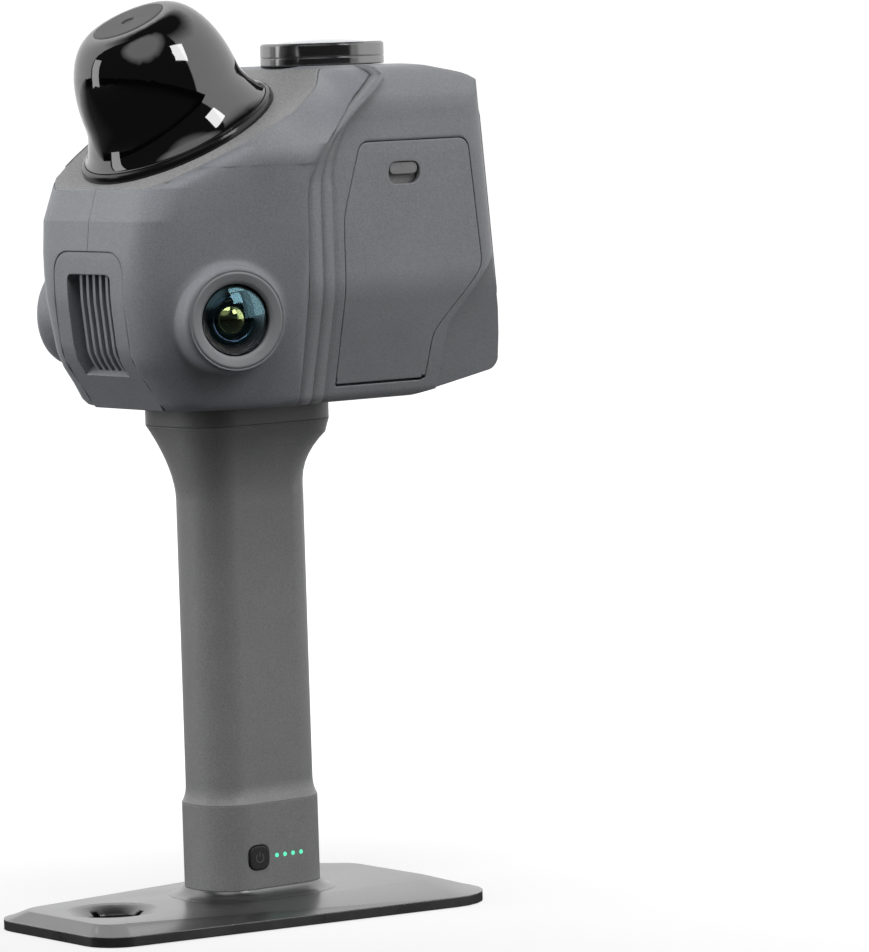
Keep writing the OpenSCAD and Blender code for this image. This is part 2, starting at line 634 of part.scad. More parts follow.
module cowl_half() {
    difference() {
        union() {
            intersection() {
                cowl_skin();
                below_deck(0);
                along_x(-1, 70, concat([[-90, head_z - 1]], ridge_line(0, -0.1), [[-90, head_z + head_h + 13]]));
            }
            at_camera() rotate_extrude() polygon(concat([[cam_d / 2 - 6, -cam_l], [cam_d / 2 + 4.6, -cam_l]],
                [for (i = [0:5]) [cam_d / 2 + 0.6 + 3.4 * pow(1 - i / 6, 2.2), 3 - cam_l + i * (cam_l - 7) / 5]],
                [[cam_d / 2 + 0.2, -1.4], [cam_d / 2 - 0.5, -0.2], [cam_d / 2 - 6, -0.2]]));
        }
        intersection() {
            loft([for (h = inner_levels) cowl_ring(h, wall, 7)]);
            below_deck(deck_t + 2);
        }
        // Deck seat, and the hole in it for the lidar's base
        difference() {
            linear_extrude(head_z + head_h + 40) polygon(deck_outline(0.8 - fit));
            below_deck(deck_t);
        }
        at_lidar() translate([0, 0, -20]) cylinder(d = flange_d - 7 + 2 * fit, h = 30);
        // Camera bore and bezel seat
        at_camera() {
            translate([0, 0, -cam_l - 8]) cylinder(d = lens_d + 2 * barrel_wall + 2 * fit, h = cam_l + 18);
            translate([0, 0, -bezel_t]) cylinder(d = cam_d - 2 + 2 * bore_fit, h = 10);
        }
        along_y(-nose_y - 5, -nose_y + 22, panel_pts(fit));
    }
}

module front_cowl_right() {
    color([0.43, 0.44, 0.46]) cowl_half();
}

module front_cowl_left() {
    color([0.43, 0.44, 0.46]) mirror([1, 0, 0]) cowl_half();
}

module deck() {
    color([0.47, 0.46, 0.45]) difference() {
        intersection() {
            linear_extrude(head_z + head_h + 40) polygon(deck_outline(0.8));
            below_deck(0);
        }
        below_deck(deck_t);
        at_lidar() translate([0, 0, -20]) cylinder(d = flange_d + 2 * fit, h = 40);
    }
}

module rear_housing() {
    module strip(i, j) {
        along_x(-60, 60, concat(ridge_line(i), [for (k = [len(ridge_levels) - 1:-1:0])
            [ridge(j, ridge_levels[k]) + 0.02, head_z + ridge_levels[k]]]));
    }
    module shape() {
        intersection() {
            union() {
                intersection() {
                    box_body(box_x, 0);
                    along_x(-60, 60, concat(ridge_line(0),
                        [[100, head_z + head_h + 13], [100, head_z - 1]]));
                }
                intersection() {
                    box_body(box_x + terrace, 0);
                    strip(0, 2);
                }
                intersection() {
                    box_body(box_x + 2 * terrace, 0);
                    strip(0, 1);
                }
            }
            box_limits(0);
        }
    }
    scoop = rounded([[72, 46, 0], [52.2, 21.8, 9], [50.2, -5, 0], [95, -5, 0], [95, 46, 0]], 6);
    color([0.46, 0.46, 0.47]) difference() {
        union() {
            difference() {
                shape();
                intersection() {
                    box_body(box_x, wall, -30, 90);
                    box_limits(wall);
                }
            }
            // Port bay walls and floor
            intersection() {
                shape();
                along_x(bay_x - bay_wall, 60, hatch_pts(-bay_wall));
                translate([0, 0, head_z]) cube([2 * box_x, 2 * rear_y, head_h]);
            }
        }
        // Relief at the lower rear corners
        difference() {
            translate([0, 0, head_z]) along_x(-60, 60, scoop);
            box_body(box_x - 1.7, 0);
        }
        // Port bay
        along_x(bay_x, 70, hatch_pts(0));
        translate([hinge_x, 0, head_z + hinge_h]) tube_y(hinge_y0 - run, hinge_y1 + run, lip_r);
        translate([hinge_x, 0, head_z + hinge_h]) tube_y(pin_y0 - fit, pin_y1 + fit, pin_r);
        translate([strike_x0 - run, latch_y - 4 - run, head_z + hatch_top - 1])
            cube([1.2 + 2 * run, 8 + 2 * run, 2.6]);
        for (y = usb_y) translate([0, y, head_z + port_z]) tube_port(bay_x - 5, bay_x + 1, fit);
        translate([bay_x - bay_wall - 1, 0, 0]) card_socket(bay_wall + 2, fit);
        // Window for the display panel
        at_screen() translate([0, 0, -12]) linear_extrude(24)
            polygon(rounded_rect(glass_w + 5 + 2 * fit, glass_h + 9 + 2 * fit, 6));
    }
}

// Rounded port body between two depths, grown by d
module tube_port(x0, x1, d) {
    translate([x0, 0, 0]) rotate([90, 0, 90]) linear_extrude(x1 - x0)
        polygon(rounded_rect(3.2 + 2 * d, 9 + 2 * d, 1.55 + d));
}

module rear_panel() {
    color([0.13, 0.13, 0.14]) at_screen() difference() {
        translate([0, 0, -4]) linear_extrude(4 - 0.1)
            polygon(rounded_rect(glass_w + 5, glass_h + 9, 6));
        translate([0, 2, -glass_t - 0.3]) linear_extrude(5)
            polygon(rounded_rect(glass_w + 2 * fit, glass_h + 2 * fit, 4));
        translate([0, 2, -6]) linear_extrude(8)
            polygon(rounded_rect(glass_w - 6, glass_h - 6, 3));
    }
}

module display_glass() {
    color([0.03, 0.03, 0.04]) at_screen() translate([0, 2, -glass_t - 0.3])
        linear_extrude(glass_t) polygon(rounded_rect(glass_w, glass_h, 4));
}

module display_module() {
    color([0.5, 0.52, 0.54]) at_screen() translate([0, 2, -6.5]) linear_extrude(6.5 - glass_t - 0.3)
        polygon(rounded_rect(glass_w - 6 - 2 * fit, glass_h - 6 - 2 * fit, 2.5));
}

module vent_grille() {
    tube = 1.4;
    depth = 11;
    pitch = (vent_w - fin_t) / (fins + 1) * 0.9;
    color([0.44, 0.44, 0.45]) difference() {
        intersection() {
            union() {
                along_x(-panel_x, panel_x, nose_strip(0.1, 3, 0, panel_h + 3));
                along_x(-vent_w / 2 - tube, vent_w / 2 + tube,
                    nose_strip(1, depth, vent_h0 - tube, vent_h1 + tube));
            }
            along_y(-nose_y - 5, -nose_y + 40, panel_pts(0));
            translate([-60, -90, head_z]) cube([120, 120, 100]);
        }
        difference() {
            intersection() {
                along_x(-vent_w / 2, vent_w / 2, nose_strip(-4, depth + 4, vent_h0, vent_h1));
                along_y(-nose_y - 10, -nose_y + 40, [for (p = rounded([[-vent_w / 2, vent_h0 - 12, 0],
                    [vent_w / 2, vent_h0 - 12, 0], [vent_w / 2, vent_h1, 2], [-vent_w / 2, vent_h1, 2]]))
                    [p.x, p.y + head_z]]);
            }
            for (i = [0:fins - 1])
                along_x((i - (fins - 1) / 2) * (pitch + 0.2) - fin_t / 2,
                    (i - (fins - 1) / 2) * (pitch + 0.2) + fin_t / 2,
                    nose_strip(2.2, depth - 1, vent_h0 - 0.3, vent_h1 + 0.3));
        }
    }
}

fan_y = -nose_y + 16.4;
fan_z = head_z + 27;
rotor_r = fan_w / 2 - 2.2;

fan_rim = 1.6;
hub_r = 7.6;
axle_r = 1.5;
module fan_frame() {
    color([0.08, 0.08, 0.09]) translate([0, fan_y, fan_z]) difference() {
        union() {
            difference() {
                along_y(0, fan_t, rounded_rect(fan_w, fan_w, 3, 4));
                tube_y(-1, fan_t - fan_rim, rotor_r + 0.5);
                tube_y(-1, fan_t + 1, rotor_r - 1);
            }
            tube_y(fan_t - fan_rim, fan_t, hub_r + 0.4);
            for (a = [30, 150, 270]) rotate([0, a, 0])
                translate([hub_r / 2, fan_t - fan_rim + 0.2, -1.2]) cube([rotor_r - hub_r / 2 - 0.4, 1.1, 2.4]);
        }
        tube_y(fan_t - 4, fan_t + 1, axle_r + bore_fit);
    }
}

module fan_rotor() {
    color([0.12, 0.12, 0.13]) translate([0, fan_y, fan_z]) {
        difference() {
            tube_y(0.8, fan_t - fan_rim - 0.4, hub_r);
            tube_y(2.2, fan_t - fan_rim - 0.3, hub_r - 1.4);
        }
        tube_y(1, fan_t - 0.2, axle_r);
        for (i = [0:6]) rotate([0, i * 360 / 7, 0]) translate([hub_r - 0.4, 4.4, 0]) rotate([40, 0, 0])
            translate([0, -0.5, -3.6]) cube([rotor_r - hub_r, 1, 7.2]);
    }
}

chassis_y = -32;
post_r = 3;
post_in = post_r + 1;
module chassis() {
    color([0.6, 0.61, 0.62]) difference() {
        union() {
            translate([-chassis_w / 2, chassis_y, head_z + wall]) cube([chassis_w, chassis_l, chassis_t]);
            for (s = [-1, 1], y = [chassis_y + post_in + 2, chassis_y + chassis_l - post_in])
                translate([s * (chassis_w / 2 - post_in), y, head_z + wall + 1])
                    cylinder(r = post_r, h = chassis_t + post_h - 1);
        }
        translate([0, 0, head_z]) cylinder(r = 8, h = wall + chassis_t + post_h);
    }
}

main_t = 1.6;
chip_h = 1.4;
board_z = head_z + wall + chassis_t + post_h;
module main_board() {
    color([0.1, 0.3, 0.18]) {
        translate([-main_w / 2, chassis_y + 3, board_z]) cube([main_w, main_l, main_t]);
        translate([-12, 0, board_z + main_t - eps]) cube([24, 24, chip_h + eps]);
        translate([5 - main_w / 2, 34, board_z + main_t - eps]) cube([12, 14, 3]);
    }
}

sink_floor = 3;
sink_fin_t = 1.6;
module heat_sink() {
    color([0.7, 0.71, 0.72]) translate([-sink_w / 2, 12 - sink_l / 2, board_z + main_t + chip_h]) {
        cube([sink_w, sink_l, sink_floor]);
        for (i = [0:sink_fins - 1]) translate([i * (sink_w - sink_fin_t) / (sink_fins - 1), 0, sink_floor - 1])
            cube([sink_fin_t, sink_l, sink_h - sink_floor + 1]);
    }
}

module lidar_seal_ring() {
    color([0.05, 0.05, 0.06]) at_lidar() difference() {
        rotate_extrude() polygon([[flange_d / 2 + fit, 0], [seal_d / 2, 0], [seal_d / 2, 1.2],
            [seal_d / 2 - 0.5, 2.2], [flange_d / 2 + fit, 2.6]]);
    }
}

shaft_r = 3;
module lidar_base() {
    color([0.16, 0.16, 0.17]) at_lidar() difference() {
        union() {
            translate([0, 0, -deck_t]) cylinder(d = flange_d, h = deck_t);
            translate([0, 0, -22]) cylinder(d = flange_d - 7, h = 22);
        }
        translate([0, 0, -14]) cylinder(r = shaft_r + bore_fit, h = 20);
    }
}

// Bell profile of the dome: flange, hollow flare, and a full shoulder up to the cap
bell_h = 13;
function bell(d) = let (r0 = flange_d / 2 - d, r1 = bulb_d / 2 - d, r2 = cap_d / 2)
    concat([[r0, 0], [r0, 2.8]],
        [for (i = [0:6]) [r1 + (r0 - 0.8 - r1) * pow(1 - i / 6, 1.6), 3.2 + (bell_h - 3.2) * i / 6]],
        [for (i = [1:12]) [r2 - d + (r1 - r2 + d) * cos(i * 7.5), bell_h + (dome_h - d - bell_h) * sin(i * 7.5)]],
        [[r2 - d, dome_h - d]]);

module lidar_dome() {
    color([0.02, 0.02, 0.025]) at_lidar() rotate_extrude() difference() {
        polygon(concat(bell(0), [[0, dome_h], [0, 0]]));
        polygon(concat([[flange_d / 2 - 4, -1]], [for (p = bell(dome_wall)) if (p.y > 3) p],
            [[0, dome_h - dome_wall], [0, -1]]));
        translate([0, dome_h - 1]) square([cap_d / 2 - 0.6 + fit, 2]);
    }
}

module lidar_cap() {
    color([0.06, 0.06, 0.065]) at_lidar() translate([0, 0, dome_h - 1]) rotate_extrude()
        polygon([[0, 0], [cap_d / 2 - 0.6, 0], [cap_d / 2 - 0.6, 1], [cap_d / 2 - 1.4, 1.3], [2.2, 1.3],
            [2, 0.9], [0, 0.9]]);
}

module lidar_rotor() {
    drum_r = bulb_d / 2 - dome_wall - 5;
    color([0.2, 0.2, 0.22]) at_lidar() difference() {
        union() {
            translate([0, 0, 2]) cylinder(r = drum_r, h = drum_h);
            translate([0, 0, -13.6]) cylinder(r = shaft_r, h = 16);
        }
        translate([-drum_r, 0, 9]) rotate([45, 0, 0]) translate([0, -40, 0]) cube([2 * drum_r, 40, 40]);
    }
}

module camera_bezel() {
    at_camera() rotate_extrude() polygon([[lens_d / 2 + fit, -bezel_t], [cam_d / 2 - 1, -bezel_t],
        [cam_d / 2 - 1, -0.3], [cam_d / 2 - 1.6, 0], [lens_d / 2 + 1.2, -0.4], [lens_d / 2 + fit, -1.2]]);
}

module camera_lens() {
    at_camera() rotate_extrude() polygon(concat([[0, -lens_back], [lens_d / 2, -lens_back], [lens_d / 2, -1.8]],
        [for (i = [1:6]) [lens_d / 2 * cos(i * 15), -1.8 + lens_rise * sin(i * 15)]]));
}

module camera_barrel() {
    at_camera() difference() {
        translate([0, 0, -cam_l]) cylinder(d = lens_d + 2 * barrel_wall, h = cam_l - bezel_t - fit);
        translate([0, 0, -lens_back]) cylinder(d = lens_d + 2 * fit, h = lens_back);
    }
}

module camera_bezel_right() {
    color([0.45, 0.46, 0.48]) camera_bezel();
}

module camera_bezel_left() {
    color([0.45, 0.46, 0.48]) mirror([1, 0, 0]) camera_bezel();
}

module camera_lens_right() {
    color([0.02, 0.03, 0.03]) camera_lens();
}

module camera_lens_left() {
    color([0.02, 0.03, 0.03]) mirror([1, 0, 0]) camera_lens();
}

module camera_barrel_right() {
    color([0.07, 0.07, 0.08]) camera_barrel();
}

module camera_barrel_left() {
    color([0.07, 0.07, 0.08]) mirror([1, 0, 0]) camera_barrel();
}

module top_camera_barrel() {
    r = top_cam_d / 2;
    h = top_cam_h;
    color([0.04, 0.04, 0.045]) translate([0, top_cam_y, head_z + head_h]) rotate_extrude()
        polygon([[0, 0], [r - 0.3, 0], [r, 0.3], [r, 2.5], [r - 0.2, 2.6], [r - 0.2, 2.75], [r, 2.85],
            [r, h - 0.6], [r - 0.6, h], [top_glass_d / 2 + fit, h - 0.3], [top_glass_d / 2 + fit, h - 3],
            [0, h - 3]]);
}

module top_camera_lens() {
    color([0.75, 0.77, 0.78]) translate([0, top_cam_y, head_z + head_h + top_cam_h]) rotate_extrude()
        polygon(concat([[0, -3], [top_glass_d / 2, -3], [top_glass_d / 2, -0.4]],
            [for (i = [1:6]) [top_glass_d / 2 * cos(i * 15), -0.4 + 1.6 * sin(i * 15)]]));
}

module hatch() {
    color([0.46, 0.46, 0.47]) difference() {
        union() {
            difference() {
                intersection() {
                    box_body(box_x, 0);
                    along_x(20, 70, hatch_pts(hatch_gap));
                    union() {
                        translate([0, 0, head_z + hinge_h]) cube([2 * box_x, 2 * rear_y, 2 * head_h]);
                        translate([0, hinge_y0, head_z + hinge_h - lip]) cube([2 * box_x, hinge_y1 - hinge_y0, lip + 1]);
                    }
                }
                box_body(box_x - hatch_t, 0, -30, 95);
            }
            translate([hinge_x, 0, head_z + hinge_h]) tube_y(hinge_y0, hinge_y1, barrel_r);
            for (s = [-1, 1]) translate([box_x - hatch_t + eps, latch_y, head_z + latch_z])
                mirror([0, s < 0 ? 1 : 0, 0]) {
                    translate([-2.6, 7.5 + run, -7]) cube([2.6 + 0.5, 1.4, 15]);
                    translate([-2.6, 6.4, -7]) cube([0.8, 2.4, 15]);
                }
        }
        translate([hinge_x, 0, head_z + hinge_h]) tube_y(hinge_y0 - 2, hinge_y1 + 3, pin_r + bore_fit);
        translate([box_x - hatch_t - 1, latch_y, head_z + latch_z]) rotate([90, 0, 90])
            linear_extrude(hatch_t + 5) polygon(rounded_rect(latch_w, latch_h, 2.9));
    }
}

module hinge_pin() {
    color([0.72, 0.73, 0.75]) translate([hinge_x, 0, head_z + hinge_h]) tube_y(pin_y0, pin_y1, pin_r);
}

module latch_slider() {
    tab_h = latch_h - latch_travel - 2 * fit;
    tab_w = latch_w / 2 - 3.5 * fit;
    color([0.44, 0.44, 0.45]) union() {
        translate([strike_x0 + 0.6, latch_y, head_z + latch_z + latch_h / 2 - fit - tab_h / 2])
            rotate([90, 0, 90]) linear_extrude(hatch_t + run + 0.2)
                polygon(rounded_rect(2 * tab_w, tab_h, tab_h / 2 - 0.05));
        translate([strike_x0, latch_y - 7.5, head_z + latch_z - 5]) cube([1.2, 15, 12]);
        translate([strike_x0, latch_y - 4, head_z + latch_z]) cube([1.2, 8, hatch_top + 1.2 - latch_z]);
    }
}

// Block of the card socket from X = 0 to depth l, grown by d
socket_w = card_t + 2 * run + 1.4;
module card_socket(l, d) {
    translate([0, card_y - socket_w / 2 - d, head_z + port_z - card_l / 2 - 1 - d])
        cube([l, socket_w + 2 * d, card_l + 2 + 2 * d]);
}

port_x = bay_x - bay_wall - 5.2;
port_t = 1.4;
port_y = 14;
port_w = 34;
port_l = 23;
module port_board() {
    color([0.1, 0.35, 0.2]) difference() {
        translate([port_x - port_t, port_y, head_z + port_z - port_l / 2 + 0.5]) cube([port_t, port_w, port_l]);
        translate([port_x - port_t - 1, 0, 0]) card_socket(port_t + 2, fit);
    }
}

module port_connectors() {
    color([0.7, 0.71, 0.72]) {
        for (y = usb_y) translate([0, y, head_z + port_z]) difference() {
            tube_port(port_x, bay_x + 0.2, 0);
            tube_port(bay_x - 4, bay_x + 1, -0.5);
        }
        difference() {
            translate([card_in - 2, 0, 0]) card_socket(bay_x + 0.2 - card_in + 2, 0);
            translate([card_in - run, card_y - card_t / 2 - run, head_z + port_z - card_l / 2 - run])
                cube([card_len + 5, card_t + 2 * run, card_l + 2 * run]);
        }
    }
}

module memory_card() {
    color([0.08, 0.08, 0.09]) translate([card_in, card_y - card_t / 2, head_z + port_z]) rotate([90, 0, 90])
        linear_extrude(card_len) translate([0, -card_l / 2]) square([card_t, card_l]);
}

base_plate();
base_screw();
grip_foot();
grip_shell();
grip_studs();
battery_cells();
battery_contact();
power_button();
button_board();
led_lenses();
collar();
front_cowl_right();
front_cowl_left();
deck();
rear_housing();
rear_panel();
display_glass();
display_module();
vent_grille();
fan_frame();
fan_rotor();
chassis();
main_board();
heat_sink();
lidar_seal_ring();
lidar_base();
lidar_dome();
lidar_cap();
lidar_rotor();
camera_bezel_right();
camera_bezel_left();
camera_lens_right();
camera_lens_left();
camera_barrel_right();
camera_barrel_left();
top_camera_barrel();
top_camera_lens();
hatch();
hinge_pin();
latch_slider();
port_board();
port_connectors();
memory_card();
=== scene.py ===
import math
import bpy
from mathutils import Matrix, Vector


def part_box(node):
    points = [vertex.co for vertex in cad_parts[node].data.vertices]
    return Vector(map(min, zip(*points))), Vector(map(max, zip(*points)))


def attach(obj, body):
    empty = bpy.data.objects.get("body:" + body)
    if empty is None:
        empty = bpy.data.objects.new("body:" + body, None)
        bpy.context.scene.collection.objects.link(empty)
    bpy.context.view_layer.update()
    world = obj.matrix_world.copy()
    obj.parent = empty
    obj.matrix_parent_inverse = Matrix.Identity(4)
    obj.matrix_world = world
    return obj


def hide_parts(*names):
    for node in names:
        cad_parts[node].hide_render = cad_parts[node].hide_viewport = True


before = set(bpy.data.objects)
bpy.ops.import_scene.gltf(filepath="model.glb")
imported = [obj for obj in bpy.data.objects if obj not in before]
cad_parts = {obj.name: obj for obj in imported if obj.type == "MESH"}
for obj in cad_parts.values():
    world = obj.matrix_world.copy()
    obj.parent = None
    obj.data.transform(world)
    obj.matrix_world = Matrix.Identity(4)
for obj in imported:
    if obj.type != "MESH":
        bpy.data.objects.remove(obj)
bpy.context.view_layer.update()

# Camera: a long lens a little above the plate, in front of the scanner's right cheek. The focal length
# and the middle of the view are in picture points; the scanner stands left, so the frame is shifted.
view_turn, view_rise, view_roll = math.radians(53.4), math.radians(4.35), math.radians(-1.9)
view_distance, focal_length, sensor = 1.8, 5670, 36
picture_w, picture_h, middle_x, middle_y = 869, 952, 238, 440
aim = Vector((0.0, 0.0, 0.150))
away = Vector((math.sin(view_turn) * math.cos(view_rise),
               -math.cos(view_turn) * math.cos(view_rise), math.sin(view_rise)))
level = Vector((math.cos(view_turn), math.sin(view_turn), 0.0))
upright = away.cross(level)
across = level * math.cos(view_roll) + upright * math.sin(view_roll)
upward = upright * math.cos(view_roll) - level * math.sin(view_roll)
bpy.ops.object.select_all(action="DESELECT")
bpy.ops.object.camera_add(location=aim + away * view_distance)
camera = bpy.context.object
camera.name = "studio_camera"
camera.rotation_euler = Matrix((across, upward, away)).transposed().to_euler()
camera.data.lens = focal_length / picture_h * sensor
camera.data.sensor_width = sensor
camera.data.shift_x = (picture_w / 2 - middle_x) / picture_h
camera.data.shift_y = (middle_y - picture_h / 2) / picture_h
camera.data.clip_end = 60
bpy.context.scene.camera = camera


# Base plate: one milled aluminium plate, black anodised with a satin sheen, with a dished
# survey hole in front and a flared boss that the grip stands on, held by a screw from below.
def rounded_edges(piece, width, angle=30):
    edge = piece.modifiers.new("edge", "BEVEL")
    edge.width = width
    edge.segments = 2
    edge.limit_method = "ANGLE"
    edge.angle_limit = math.radians(angle)
    bpy.ops.object.modifier_apply(modifier="edge")


def skin_of(node, body, finish, angle=30, round_edge=0.0, line=None, joint=None):
    # The solid's own shape as one welded skin, shaded softly over its curved faces. Edges on the
    # line stay sharp, and edges at the joint's height are soft.
    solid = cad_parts[node]
    bpy.ops.object.select_all(action="DESELECT")
    skin = bpy.data.objects.new(node + "_skin", solid.data.copy())
    bpy.context.scene.collection.objects.link(skin)
    bpy.context.view_layer.objects.active = skin
    skin.select_set(True)
    if skin.data.has_custom_normals:
        bpy.ops.mesh.customdata_custom_splitnormals_clear()
    bpy.ops.object.mode_set(mode="EDIT")
    bpy.ops.mesh.select_all(action="SELECT")
    bpy.ops.mesh.remove_doubles(threshold=3e-6)
    bpy.ops.mesh.dissolve_limited(angle_limit=math.radians(0.3))
    bpy.ops.object.mode_set(mode="OBJECT")
    if round_edge:
        rounded_edges(skin, round_edge, angle)
    bpy.ops.object.shade_smooth_by_angle(angle=math.radians(angle))
    for edge in skin.data.edges:
        one, two = [skin.data.vertices[v].co for v in edge.vertices]
        if line and line(one, two):
            edge.use_edge_sharp = True
        if joint and max(abs(one.z - joint), abs(two.z - joint)) < 2e-4:
            edge.use_edge_sharp = False
    even = skin.modifiers.new("even", "WEIGHTED_NORMAL")
    even.keep_sharp = True
    bpy.ops.object.modifier_apply(modifier="even")
    skin.data.materials.clear()
    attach(skin, body)
    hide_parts(node)
    skin.data.materials.append(finish)


def new_finish(name):
    # A new material, with what its nodes are made from: the lists, the shader and the place on the piece.
    finish = bpy.data.materials.new(name)
    finish.use_nodes = True
    shader = finish.node_tree.nodes["Principled BSDF"]
    place = finish.node_tree.nodes.new("ShaderNodeTexCoord")
    return finish, finish.node_tree.nodes, finish.node_tree.links, shader, place.outputs["Object"]


def speckle(nodes, links, place, scale, detail=3.0, rough=0.6):
    noise = nodes.new("ShaderNodeTexNoise")
    noise.inputs["Scale"].default_value = scale
    noise.inputs["Detail"].default_value = detail
    noise.inputs["Roughness"].default_value = rough
    links.new(place, noise.inputs["Vector"])
    return noise.outputs["Fac"]


def between(nodes, links, value, low, high, start=0.3, end=0.7):
    # Runs from low to high while the value runs from start to end, and stops there.
    span = nodes.new("ShaderNodeMapRange")
    span.inputs["From Min"].default_value = start
    span.inputs["From Max"].default_value = end
    span.inputs["To Min"].default_value = low
    span.inputs["To Max"].default_value = high
    links.new(value, span.inputs["Value"])
    return span.outputs["Result"]


def tint(nodes, links, amount, one, two):
    blend = nodes.new("ShaderNodeMix")
    blend.data_type = "RGBA"
    blend.inputs["A"].default_value = (*one, 1)
    blend.inputs["B"].default_value = (*two, 1)
    links.new(amount, blend.inputs["Factor"])
    return blend.outputs["Result"]


def rubbed(nodes, links, colour, edges, bare):
    # The colour, half worn to a paler one along the piece's edges.
    blend = nodes.new("ShaderNodeMix")
    blend.data_type = "RGBA"
    blend.inputs["B"].default_value = (*bare, 1)
    links.new(colour, blend.inputs["A"])
    links.new(between(nodes, links, edges, 0, 0.5, 0, 1), blend.inputs["Factor"])
    return blend.outputs["Result"]


def uneven(nodes, links, shader, place, scale, low, high):
    links.new(between(nodes, links, speckle(nodes, links, place, scale), low, high),
              shader.inputs["Roughness"])


def vector_figure(nodes, links, operation, one, two=None):
    step = nodes.new("ShaderNodeVectorMath")
    step.operation = operation
    links.new(one, step.inputs[0])
    if isinstance(two, tuple):
        step.inputs[1].default_value = two
    elif two is not None:
        links.new(two, step.inputs[1])
    return step.outputs["Vector" if operation == "ABSOLUTE" else "Value"]


def worn_edges(nodes, links, radius):
    # Where the rounded normal leaves the flat one, the piece has an edge.
    soft = nodes.new("ShaderNodeBevel")
    soft.samples = 4
    soft.inputs["Radius"].default_value = radius
    flat = nodes.new("ShaderNodeNewGeometry")
    apart = vector_figure(nodes, links, "DOT_PRODUCT", soft.outputs["Normal"], flat.outputs["Normal"])
    return soft.outputs["Normal"], between(nodes, links, apart, 1.0, 0.0, 0.75, 0.99)


def roughen(nodes, links, height, strength, depth, normal):
    bump = nodes.new("ShaderNodeBump")
    bump.inputs["Strength"].default_value = strength
    bump.inputs["Distance"].default_value = depth
    links.new(height, bump.inputs["Height"])
    links.new(normal, bump.inputs["Normal"])
    return bump.outputs["Normal"]


plate_black, nodes, links, shader, place = new_finish("plate_black_anodised")
rounded, edges = worn_edges(nodes, links, 0.0005)
cloud = speckle(nodes, links, place, 60)
blast = speckle(nodes, links, place, 2600, 2)
dark = tint(nodes, links, between(nodes, links, cloud, 0, 1), (0.21, 0.21, 0.215), (0.26, 0.26, 0.265))
links.new(rubbed(nodes, links, dark, edges, (0.4, 0.4, 0.405)), shader.inputs["Base Color"])
shader.inputs["Metallic"].default_value = 1.0
links.new(between(nodes, links, cloud, 0.26, 0.32), shader.inputs["Roughness"])
links.new(roughen(nodes, links, blast, 0.03, 0.00002, rounded), shader.inputs["Normal"])
skin_of("base_plate", "scanner", plate_black, angle=25, round_edge=0.0003)

turned_steel, nodes, links, shader, place = new_finish("turned_steel")
shader.inputs["Metallic"].default_value = 1.0
rings = nodes.new("ShaderNodeTexWave")
rings.wave_type = "RINGS"
rings.inputs["Scale"].default_value = 900
links.new(place, rings.inputs["Vector"])
links.new(tint(nodes, links, rings.outputs["Fac"], (0.46, 0.47, 0.48), (0.56, 0.57, 0.58)),
          shader.inputs["Base Color"])
uneven(nodes, links, shader, place, 300, 0.22, 0.4)
for node in ("base_screw", "grip_studs", "hinge_pin"):
    skin_of(node, "scanner", turned_steel, angle=35, round_edge=0.0001)


# Grip: a moulded foot with the power button and its row of lights, and a waisted shell that
# flares up to the collar. Grey plastic with a fine spark-eroded grain, over the battery pack.
def moulded_grey(name, one, two, grain=1900, depth=0.00006, smooth=0.36, dull=0.48, contrast=0.18):
    # Moulded plastic: a cloudy colour with a fine raised grain, a little paler along its edges.
    finish, nodes, links, shader, place = new_finish(name)
    rounded, edges = worn_edges(nodes, links, 0.0006)
    cloud = speckle(nodes, links, place, 35)
    sand = speckle(nodes, links, place, grain, 2.5, 0.7)
    fleck = nodes.new("ShaderNodeMix")
    fleck.data_type = "RGBA"
    fleck.blend_type = "MULTIPLY"
    fleck.inputs["Factor"].default_value = 1.0
    links.new(tint(nodes, links, between(nodes, links, cloud, 0, 1), one, two), fleck.inputs["A"])
    links.new(tint(nodes, links, between(nodes, links, sand, 0, 1),
                   [1 - contrast] * 3, [1 + contrast] * 3), fleck.inputs["B"])
    worn = rubbed(nodes, links, fleck.outputs["Result"], edges, [c * 1.3 for c in two])
    links.new(worn, shader.inputs["Base Color"])
    links.new(between(nodes, links, cloud, smooth, dull), shader.inputs["Roughness"])
    links.new(roughen(nodes, links, sand, 0.3, depth, rounded), shader.inputs["Normal"])
    return finish


grip_grey = moulded_grey("grip_grey", (0.183, 0.184, 0.187), (0.203, 0.204, 0.207))
skin_of("grip_foot", "scanner", grip_grey, round_edge=0.0003)
skin_of("grip_shell", "scanner", grip_grey, angle=40)
# The collar is the grip's grey plastic, given a darker grey here: painted shade for the shadow that the
# head casts on it.
collar_grey_painted_shade = moulded_grey("collar_grey_painted_shade", (0.135, 0.136, 0.139), (0.15, 0.151, 0.154))
skin_of("collar", "scanner", collar_grey_painted_shade, round_edge=0.0003)


# Power button: a small square rocker in the foot's side, satin black, with the usual sign for
# power, an open ring and an upright stroke, printed on it as a thin raised layer.
def mottled(name, scale, one, two):
    # A smooth material whose colour wanders between two.
    finish, nodes, links, shader, place = new_finish(name)
    links.new(tint(nodes, links, speckle(nodes, links, place, scale), one, two),
              shader.inputs["Base Color"])
    return finish, nodes, links, shader, place


def faces_out():
    bpy.ops.mesh.select_all(action="SELECT")
    bpy.ops.mesh.normals_make_consistent(inside=False)
    bpy.ops.object.mode_set(mode="OBJECT")


def finished(piece, finish, body):
    bpy.ops.object.shade_smooth_by_angle(angle=math.radians(30))
    piece.data.materials.append(finish)
    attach(piece, body)


